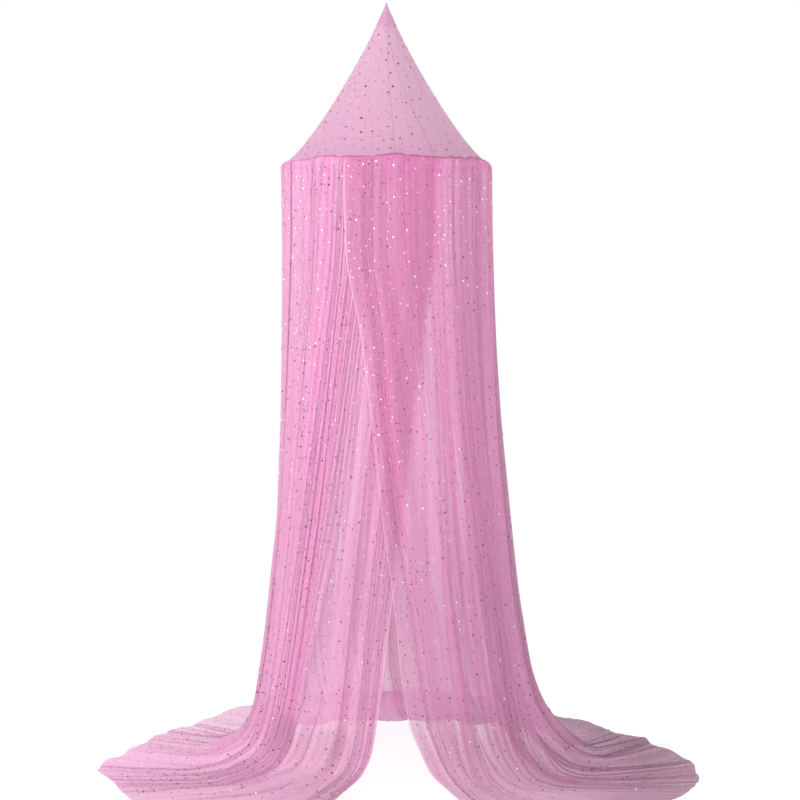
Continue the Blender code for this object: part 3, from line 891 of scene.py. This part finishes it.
    # soft folds between the pleats and the main folds
    width = np.exp(0.35 * rng.standard_normal(MID_FOLDS))
    ends = np.concatenate(([0.0], np.cumsum(width))) / width.sum() * CLOTH_WIDTH
    phase = np.interp(x, ends, np.arange(MID_FOLDS + 1))
    strength = 0.75 + 0.45 * soft_noise(rng, MID_FOLDS + 1, ROWS, 1.0, ROWS / 3.0)
    strength = np.clip(strength, 0.1, 1.7)
    s_here = np.stack([np.interp(phase, np.arange(MID_FOLDS + 1), strength[:, j]) for j in range(ROWS)], 1)
    mid_wave = np.sin(2 * np.pi * phase)[:, None] * s_here * row_shape[S_MID][None, :]
    mid_wave *= 1.0 - 0.85 * smooth((58.0 - np.abs(np.interp(x, 0.5 * (start[1:] + start[:-1]), mid_dir[:, ROWS // 2]) - 180.0))
                                    / 30.0)[:, None] * smooth((0.60 - row_height) / 0.4)[None, :]
    centre = y.mean(0)
    r, h, d = np.empty_like(u), np.empty_like(u), np.empty_like(u)
    for j in range(ROWS):
        nr = np.interp(u[:, j], DIRS, norm_r[:, j])
        nh = np.interp(u[:, j], DIRS, norm_h[:, j])
        shallow = 1.0 - 0.60 * np.exp(-((u[:, j] - 296.0) / 11.0) ** 2) * smooth((row_height[j] - 0.9) / 0.4)
        swing = np.interp(u[:, j], DIRS, base_w[:, j]) * row_shape[S_MAIN][j] * shallow
        off = swing + y[:, j] - centre[j] + mid_wave[:, j] - row_shape[S_INWARD][j]
        r[:, j] = np.interp(u[:, j], DIRS, base_r[:, j]) + nr * off
        h[:, j] = np.interp(u[:, j], DIRS, base_h[:, j]) + nh * off
        d[:, j] = np.interp(u[:, j], DIRS, base_d[:, j])
    # it rests on the outside of the hoop and on the floor
    hoop_out = HOOP_RADIUS + HOOP_WIRE / 2.0 + 0.0012
    clear = hoop_out - HOOP_RADIUS
    off_wire = np.sqrt(np.maximum(clear ** 2 - (0.45 * (h - HOOP_HEIGHT)) ** 2, 0.0))
    r = np.where(np.abs(h - HOOP_HEIGHT) < 0.009, np.maximum(r, HOOP_RADIUS + off_wire), r)
    h = np.maximum(h, 0.0010)
    # the top edge is sewn to the lower edge of the crown
    dip = seam_dip(d[:, 0])
    hold = (1.0 - smooth(row_s / 0.034))[None, :]
    top_h = HANG_HEIGHT - CROWN_DROP - dip + 0.0016
    top_r = cone_radius(CROWN_DROP + dip) - 0.0012
    h = h + (top_h - h[:, 0])[:, None] * hold
    r = r + (top_r - r[:, 0])[:, None] * hold
    a = np.radians(d)
    points = np.stack((r * np.sin(a), -r * np.cos(a), h - HANG_HEIGHT), -1)
    return points, x, a


curtain_points, cloth_x, curtain_angle = build_curtain()
curtain_normals = grid_normals(curtain_points)

# how much cloth there is for each bit of this surface, near the hoop most of all
du = np.linalg.norm(np.diff(curtain_points, axis=0), axis=-1)
per = np.diff(cloth_x)[:, None] / np.maximum(du, 1e-5)
window = SUB * 2 + 1
pad = np.pad(per, ((window // 2, window - window // 2), (0, 0)), mode="edge")
run_sum = np.cumsum(np.concatenate((np.zeros((1, ROWS)), pad)), 0)
crowding = np.clip((run_sum[window:] - run_sum[:-window]) / window, 0.7, 3.2)[:len(cloth_x)]

lying = smooth((0.13 - (curtain_points[..., 2] + HANG_HEIGHT)) / 0.12) * 0.92
look = np.stack((np.sin(curtain_angle) * (1 - lying), -np.cos(curtain_angle) * (1 - lying), lying), -1)
look /= np.linalg.norm(look, axis=-1, keepdims=True)
behind = smooth((0.1 - np.cos(curtain_angle)) / 0.8)
rng = np.random.default_rng(418)
bands = (soft_noise(rng, len(cloth_x), ROWS, 9.0, ROWS / 1.6) * 0.42
         + soft_noise(rng, len(cloth_x), ROWS, 3.1, ROWS / 2.4) * 0.36
         + soft_noise(rng, len(cloth_x), ROWS, 27.0, ROWS / 1.4) * 0.42)
height_of = curtain_points[..., 2] + HANG_HEIGHT
low = smooth((0.95 - height_of) / 0.60)
# the two panels lie over each other between their free edges, above the crossing
around = (np.degrees(curtain_angle) + 180.0) % 360.0 - 180.0
first_edge = np.degrees(curtain_angle[:1])
last_edge = np.degrees(curtain_angle[-1:]) - 360.0
lap = smooth((around - first_edge + 2.0) / 5.0) * smooth((last_edge - around + 2.0) / 5.0)
seam_near = np.exp(-row_s / 0.034)[None, :]
pleat_noise = soft_noise(rng, len(cloth_x), 1, 5.0, 1.0)
right_side = smooth((around - 20.0) / 60.0) * smooth((175.0 - around) / 40.0)
front_pool = smooth((np.cos(curtain_angle) + 0.1) / 0.7)
steep = smooth((0.80 - np.abs((curtain_normals * look).sum(-1))) / 0.6)
# deeper colour: real where the cloth is gathered at the seam and where the panels lap, painted in the steep sides of
# the folds for light bounced inside them, and painted less low down on the left, where the light falls
rich = np.clip(seam_near * (0.62 + 0.30 * pleat_noise) + 0.42 * lap * (1.0 - lying)
               + (0.24 * bands + 0.18 * steep) * (1.0 - lying), 0.0, 1.0)
rich *= 1.0 - 0.6 * low * smooth((-40.0 - around) / 25.0) * smooth((around + 125.0) / 25.0)
out_far = smooth((np.hypot(curtain_points[..., 0], curtain_points[..., 1]) - 0.60) / 0.22)
to_right = smooth((around + 45.0) / 75.0) * smooth((185.0 - around) / 30.0)
near_floor = smooth((0.30 - height_of) / 0.20) * (1.0 - behind)
# painted shade: darker where the cloth lies on the floor, most of all far out on the right, on the low hanging cloth at
# the right and back, near the floor, where the panels lap, and at the foot on the left of the front
dusk = np.clip(lying * (0.01 + 0.27 * smooth((around + 88.0) / 34.0) * smooth((-8.0 - around) / 24.0)
                        + 0.43 * smooth((around + 45.0) / 40.0) * smooth((185.0 - around) / 40.0)
                        + 0.28 * right_side + 0.42 * right_side * out_far)
               + (1.0 - lying) * low * (0.32 * to_right * (1.0 - 0.55 * smooth((around - 35.0) / 30.0))
                                      + 0.33 * behind * (1.0 - to_right))
               + 0.15 * (1.0 - lying) * near_floor + 0.17 * (1.0 - lying) * lap
               + 0.30 * (1.0 - lying) * smooth((0.215 - height_of) / 0.06) * (1.0 - behind)
               * smooth((around + 58.0) / 14.0) * smooth((-8.0 - around) / 12.0), 0.0, 1.0)
edge_near = np.minimum(cloth_x, CLOTH_WIDTH - cloth_x)[:, None]
# painted highlight along the free edges, less of it low down and where the cloth lies on the floor
pale = smooth((0.0052 - edge_near) / 0.002) * (1.0 - 0.5 * lying) * (1.0 - 0.35 * low)
# painted light: the cloth on the left, where the light comes from, is painted paler low down and where it lies on the
# floor
to_left = smooth((-38.0 - around) / 20.0) * smooth((around + 170.0) / 40.0)
pale = np.maximum(pale, to_left * (0.15 * low * (1.0 - lying) + 0.11 * lying + 0.22 * lying * behind))
# painted highlight: the steep sides of the folds, on the left and at the rims, are painted paler, as if they caught
# light from all round
rim = smooth((np.abs(np.sin(curtain_angle)) - 0.72) / 0.22)
pale = np.maximum(pale, (0.28 * to_left + 0.24 * rim * (1.0 - to_left)) * steep * (1.0 - lying) * (1.0 - seam_near)
                  * (1.0 - behind * (1.0 - rim)))
rich = np.maximum(rich, 0.45 * behind * smooth((0.17 - height_of) / 0.07) * (1.0 - lying) * (1.0 - to_left))
rich = np.maximum(rich, 0.8 * np.exp(-((edge_near - 0.0085) / 0.0022) ** 2) * (1.0 - 0.6 * lying)) * (1.0 - pale)
# where many layers are seen edge on, in the flank of a fold near the left rim and beside the lap
flank = (np.exp(-((around + 73.5 + 9.4 * (1.65 - height_of)) / 5.5) ** 2) * smooth((height_of - 0.80) / 0.2))
beside_lap = (smooth((around + 72.0) / 12.0) * smooth((-16.0 - around) / 8.0)
              * smooth((height_of - 0.45) / 0.3) * smooth((1.62 - height_of) / 0.2))
cover = veiled(curtain_normals, look, VEIL_CURTAIN * (1.0 - 0.50 * flank) * (1.0 - 0.40 * steep * beside_lap) * crowding ** 0.35 * np.exp(0.36 * bands * (1.0 - 0.6 * lying - 0.3 * near_floor))
               * (1.0 + (1.35 + 0.9 * right_side * out_far) * lying) * (1.0 + 1.25 * near_floor)
               * (1.0 + 0.70 * behind * (1.0 - low) + 1.35 * behind * low * (1.0 - 0.9 * lying))
               * (1.0 + 0.45 * seam_near))
cover = cover + ((0.79 + 0.06 * right_side + 0.09 * right_side * out_far - 0.14 * behind * (1.0 - to_right))
                 - cover) * (0.62 + 0.2 * right_side) * lying
cover = np.minimum(cover, 0.93)
# plain narrow hems along the free edges and the foot
from_edge = np.minimum(cloth_x, CLOTH_WIDTH - cloth_x)[:, None]
from_foot = (CLOTH_LENGTH - row_s)[None, :]
hem = np.maximum(smooth((0.0065 - from_edge) / 0.004), smooth((0.016 - from_foot) / 0.010))
cover = cover + (0.90 - cover) * hem * 0.7

middle = (len(cloth_x) - 1) // 2
curtain_pieces = []
for name, lo, hi in (("curtain_right", 0, middle), ("curtain_left", middle, len(cloth_x) - 1)):
    part = slice(lo, hi + 1)
    width = cloth_x[hi] - cloth_x[lo]
    uv = np.stack(np.broadcast_arrays(cloth_x[part][:, None], row_s[None, :]), -1)
    unit = np.stack(np.broadcast_arrays((cloth_x[part][:, None] - cloth_x[lo]) / width,
                                        1.0 - row_s[None, :] / CLOTH_LENGTH), -1)
    me = grid_mesh(name, curtain_points[part], uv, unit * 0.99 + 0.005,
                   {"cover": cover[part], "rich": rich[part], "dusk": dusk[part], "pale": pale[part]})
    soft = curtain_normals[part] * CRISP + look[part] * (1.0 - CRISP)
    # where a pleat turns under itself the shading still has to face the same way as the cloth
    into = (soft * curtain_normals[part]).sum(-1, keepdims=True)
    soft = soft + curtain_normals[part] * np.maximum(0.15 - into, 0.0)
    soft /= np.linalg.norm(soft, axis=-1, keepdims=True)
    me.normals_split_custom_set_from_vertices(soft.reshape(-1, 3).tolist())
    curtain_pieces.append(add(name, me, curtain_mat, node="curtain"))
    curtain_pieces[-1]["flat_width"] = float(width)


# ------------------------------------------------------------- foil dots
def foil_dots(xs, ys, per_m2, seed):
    """Small round foil flakes pressed on the net, on a grid of cloth (xs across, ys down)."""
    rng = np.random.default_rng(seed)
    cell = 1.0 / math.sqrt(per_m2)
    nx, ny = max(1, int(round((xs[-1] - xs[0]) / cell))), max(1, int(round((ys[-1] - ys[0]) / cell)))
    gx, gy = np.meshgrid(np.arange(nx), np.arange(ny), indexing="ij")
    px = xs[0] + (gx + 0.5 + rng.uniform(-0.42, 0.42, gx.shape)) / nx * (xs[-1] - xs[0])
    py = ys[0] + (gy + 0.5 + rng.uniform(-0.42, 0.42, gx.shape)) / ny * (ys[-1] - ys[0])
    px, py = px.ravel(), py.ravel()
    return px, py, rng


def dot_mesh(name, centres, normals, radii, tilt, shade):
    """One mesh of many flat six-sided flakes."""
    n = len(centres)
    up = np.tile((0.0, 0.0, 1.0), (n, 1))
    side = np.cross(up, normals)
    side /= np.maximum(np.linalg.norm(side, axis=1, keepdims=True), 1e-6)
    other = np.cross(normals, side)
    normals = normals + side * tilt[:, :1] + other * tilt[:, 1:]
    normals /= np.linalg.norm(normals, axis=1, keepdims=True)
    side = np.cross(other, normals)
    side /= np.maximum(np.linalg.norm(side, axis=1, keepdims=True), 1e-6)
    other = np.cross(normals, side)
    ang = np.arange(6) * math.pi / 3.0
    ring = (side[:, None, :] * np.cos(ang)[None, :, None] + other[:, None, :] * np.sin(ang)[None, :, None])
    verts = centres[:, None, :] + ring * radii[:, None, None]
    me = bpy.data.meshes.new(name)
    me.vertices.add(n * 6)
    me.vertices.foreach_set("co", verts.reshape(-1).astype(np.float32))
    me.loops.add(n * 6)
    me.loops.foreach_set("vertex_index", np.arange(n * 6, dtype=np.int32))
    me.polygons.add(n)
    me.polygons.foreach_set("loop_start", np.arange(0, n * 6, 6, dtype=np.int32))
    me.update(calc_edges=True)
    side_n = int(math.ceil(math.sqrt(n)))
    cx, cy = (np.arange(n) % side_n + 0.5) / side_n, (np.arange(n) // side_n + 0.5) / side_n
    uv = np.stack((cx[:, None] + 0.40 / side_n * np.cos(ang), cy[:, None] + 0.40 / side_n * np.sin(ang)), -1)
    layer = me.uv_layers.new(name="OFBake")
    layer.data.foreach_set("uv", uv.reshape(-1).astype(np.float32))
    at = me.attributes.new("shade", "FLOAT", "POINT")
    at.data.foreach_set("value", np.repeat(shade, 6).astype(np.float32))
    return add(name, me, foil_mat)


def shades(rng, n, bright):
    """Painted reflections: most flakes are painted dark, as if turned away from the light, and the share given by
    bright are painted white, as glints.
    """
    u = rng.uniform(0.0, 1.0, n)
    dark = np.where(rng.uniform(0.0, 1.0, n) < 0.65, rng.uniform(0.0, 0.08, n), rng.uniform(0.08, 0.25, n))
    return np.where(u < bright, rng.uniform(0.8, 1.0, n), dark)


def flake_radii(rng, n):
    """Flakes 2.3 to 5.5 mm across, most of them small."""
    return 0.00115 + 0.0016 * rng.uniform(0.0, 1.0, n) ** 1.8


foil_mat = foil_material()
DOTS_PER_M2 = 930.0
CURTAIN_DOTS_PER_M2 = 1600.0


def read_grid(grid, ci, ri):
    c0, r0 = np.floor(ci).astype(int), np.floor(ri).astype(int)
    c0, r0 = np.clip(c0, 0, grid.shape[0] - 2), np.clip(r0, 0, grid.shape[1] - 2)
    fc, fr = (ci - c0)[:, None], (ri - r0)[:, None]
    return ((grid[c0, r0] * (1 - fc) + grid[c0 + 1, r0] * fc) * (1 - fr)
            + (grid[c0, r0 + 1] * (1 - fc) + grid[c0 + 1, r0 + 1] * fc) * fr)


px, py, rng = foil_dots(cloth_x, row_s, CURTAIN_DOTS_PER_M2, 61)
keep = (px > 0.012) & (px < CLOTH_WIDTH - 0.012) & (py > 0.012) & (py < CLOTH_LENGTH - 0.015)
px, py = px[keep], py[keep]
ci, ri = np.interp(px, cloth_x, np.arange(len(cloth_x))), np.interp(py, row_s, np.arange(ROWS))
centre, normal = read_grid(curtain_points, ci, ri), read_grid(curtain_normals, ci, ri)
normal /= np.linalg.norm(normal, axis=1, keepdims=True)
n = len(centre)
# painted glints: more of the curtain's flakes are painted white higher up
curtain_dots = dot_mesh("foil_dots_curtain", centre + normal * 0.0005, normal,
                        flake_radii(rng, n), rng.normal(0.0, 0.10, (n, 2)),
                        shades(rng, n, np.interp(centre[:, 2], (-2.2, -1.7, -1.2, -0.7), (0.06, 0.09, 0.33, 0.46))))

rng = np.random.default_rng(77)
crown_area = float((2 * math.pi * np.interp(np.linspace(0, 1, 200), np.linspace(0, 1, crown_points.shape[1]),
                                            np.linalg.norm(crown_points[0, :, :2], axis=-1))).mean()
                   * crown_length[0, -1])
n_try = 6000
dd, ss = rng.uniform(-180.0, 180.0, n_try), rng.uniform(0.0, 1.0, n_try)
drops = 0.045 + (CROWN_DROP - 0.052) * ss
accept = rng.uniform(0.0, 1.0, n_try) < cone_radius(drops) / cone_radius(np.array(CROWN_DROP))
dd, drops = dd[accept], drops[accept]
spots = cone_point(dd, drops, 0.0)
chosen = []
for i in range(len(spots)):
    if len(chosen) >= int(DOTS_PER_M2 * crown_area):
        break
    if all(np.sum((spots[i] - spots[c]) ** 2) > 0.0215 ** 2 for c in chosen):
        chosen.append(i)
dd, drops = dd[chosen], drops[chosen]
a = np.radians(dd)
slope = CROWN_SLOPE + 2 * CROWN_FLARE * drops
normal = np.stack((np.sin(a), -np.cos(a), slope), -1)
normal /= np.linalg.norm(normal, axis=1, keepdims=True)
n = len(chosen)
# painted reflections: the crown's flakes are all painted dark, none white
crown_dots = dot_mesh("foil_dots_crown", cone_point(dd, drops, 0.0) + normal * 0.0022, normal,
                      flake_radii(rng, n) * 1.28, rng.normal(0.0, 0.06, (n, 2)),
                      shades(rng, n, 0.0) * 0.5)


# ------------------------------------------------------------------ stage
def floor_material():
    """Pale floor that fades out into the white of the studio."""
    n = Nodes("pale_floor")
    place = n.new("ShaderNodeTexCoord").outputs["Object"]
    away = n.new("ShaderNodeVectorMath", {0: place}, operation="LENGTH").outputs["Value"]
    noise = n.new("ShaderNodeTexNoise", {"Vector": place, "Scale": 3.0, "Detail": 2.0})
    tint = n.new("ShaderNodeMix", {0: noise.outputs[0], 6: (0.90, 0.90, 0.90, 1.0), 7: (0.94, 0.94, 0.94, 1.0)},
                 data_type="RGBA")
    matt = n.new("ShaderNodeBsdfDiffuse", {"Color": tint.outputs[2], "Roughness": 0.5})
    lit = n.new("ShaderNodeEmission", {"Color": tint.outputs[2], "Strength": 1.13})
    skin = n.new("ShaderNodeMixShader", {0: 0.76, 1: matt.outputs[0], 2: lit.outputs[0]})
    clear = n.new("ShaderNodeBsdfTransparent")
    fade = n.new("ShaderNodeMapRange", {0: away, 1: 1.5, 2: 2.7, 3: 0.0, 4: 1.0}, interpolation_type="SMOOTHSTEP")
    mix = n.new("ShaderNodeMixShader", {0: fade.outputs[0], 1: skin.outputs[0], 2: clear.outputs[0]})
    n.new("ShaderNodeOutputMaterial", {"Surface": mix.outputs[0]})
    return n.mat


me = bpy.data.meshes.new("floor")
ring = [(2.8 * math.cos(t), 2.8 * math.sin(t), 0.0) for t in np.linspace(0, 2 * math.pi, 97)[:-1]]
me.from_pydata(ring, [], [tuple(range(96))])
floor = bpy.data.objects.new("floor", me)
floor.location = (0.0, 0.0, -HANG_HEIGHT)
bpy.context.scene.collection.objects.link(floor)
me.materials.append(floor_material())
floor.visible_diffuse = False

# soft light from all round, more of it from the left
WORLD_LEFT = 1.25
WORLD_RIGHT = 0.98
WORLD_TOP = 0.30           # as a share of that at eye level

world = bpy.data.worlds.new("studio")
bpy.context.scene.world = world
world.use_nodes = True
wt = world.node_tree
wt.nodes.clear()
seen = wt.nodes.new("ShaderNodeBackground")
seen.inputs[0].default_value, seen.inputs[1].default_value = (1.0, 1.0, 1.0, 1.0), 1.0
fill = wt.nodes.new("ShaderNodeBackground")
fill.inputs[0].default_value = (1.0, 0.985, 0.99, 1.0)
where = wt.nodes.new("ShaderNodeTexCoord")
split = wt.nodes.new("ShaderNodeSeparateXYZ")
ramp = wt.nodes.new("ShaderNodeMapRange")
ramp.interpolation_type = "SMOOTHSTEP"
for key, value in ((1, -1.0), (2, 1.0), (3, WORLD_LEFT), (4, WORLD_RIGHT)):
    ramp.inputs[key].default_value = value
rise = wt.nodes.new("ShaderNodeMapRange")
rise.interpolation_type = "SMOOTHSTEP"
for key, value in ((1, 0.1), (2, 0.9), (3, 1.0), (4, WORLD_TOP)):
    rise.inputs[key].default_value = value
both = wt.nodes.new("ShaderNodeMath")
both.operation = "MULTIPLY"
path = wt.nodes.new("ShaderNodeLightPath")
mix = wt.nodes.new("ShaderNodeMixShader")
out = wt.nodes.new("ShaderNodeOutputWorld")
wt.links.new(where.outputs["Generated"], split.inputs[0])
wt.links.new(split.outputs[0], ramp.inputs[0])
wt.links.new(split.outputs[2], rise.inputs[0])
wt.links.new(ramp.outputs[0], both.inputs[0])
wt.links.new(rise.outputs[0], both.inputs[1])
wt.links.new(both.outputs[0], fill.inputs[1])
wt.links.new(path.outputs["Is Camera Ray"], mix.inputs[0])
wt.links.new(fill.outputs[0], mix.inputs[1])
wt.links.new(seen.outputs[0], mix.inputs[2])
wt.links.new(mix.outputs[0], out.inputs[0])


def area_light(name, place, target, size, watts, colour=(1.0, 1.0, 1.0)):
    data = bpy.data.lights.new(name, "AREA")
    data.shape = "RECTANGLE"
    data.size, data.size_y = size
    data.energy = watts
    data.color = colour
    lamp = bpy.data.objects.new(name, data)
    lamp.location = place
    lamp.rotation_euler = (Vector(target) - Vector(place)).to_track_quat("-Z", "Y").to_euler()
    bpy.context.scene.collection.objects.link(lamp)
    return lamp


area_light("key_left", (-3.4, -2.2, 0.3), (0.0, 0.0, -1.4), (1.8, 2.4), 122.0, (1.0, 0.985, 0.99))
area_light("front", (0.6, -5.4, -0.9), (0.0, 0.0, -0.9), (2.4, 1.6), 101.0)
floor_lamp = area_light("floor_wash", (0.0, 0.0, 2.8), (0.0, 0.0, -2.2), (4.0, 4.0), 420.0)
only = bpy.data.collections.new("floor_only")
only.objects.link(floor)
floor_lamp.light_linking.receiver_collection = only

# ----------------------------------------------------------------- camera
data = bpy.data.cameras.new("camera")
data.lens = 84.96
data.sensor_width = 36.0
data.clip_end = 200.0
camera = bpy.data.objects.new("camera", data)
camera.location = (0.0, -5.5, -0.8795)
camera.rotation_euler = (math.radians(90.0 - 2.82), 0.0, math.radians(-0.41))
bpy.context.scene.collection.objects.link(camera)
bpy.context.scene.camera = camera

scene = bpy.context.scene
scene.view_settings.view_transform = "Standard"
scene.view_settings.look = "None"
scene.cycles.transparent_max_bounces = 64
scene.cycles.max_bounces = 8
scene.cycles.diffuse_bounces = 4
scene.cycles.glossy_bounces = 2
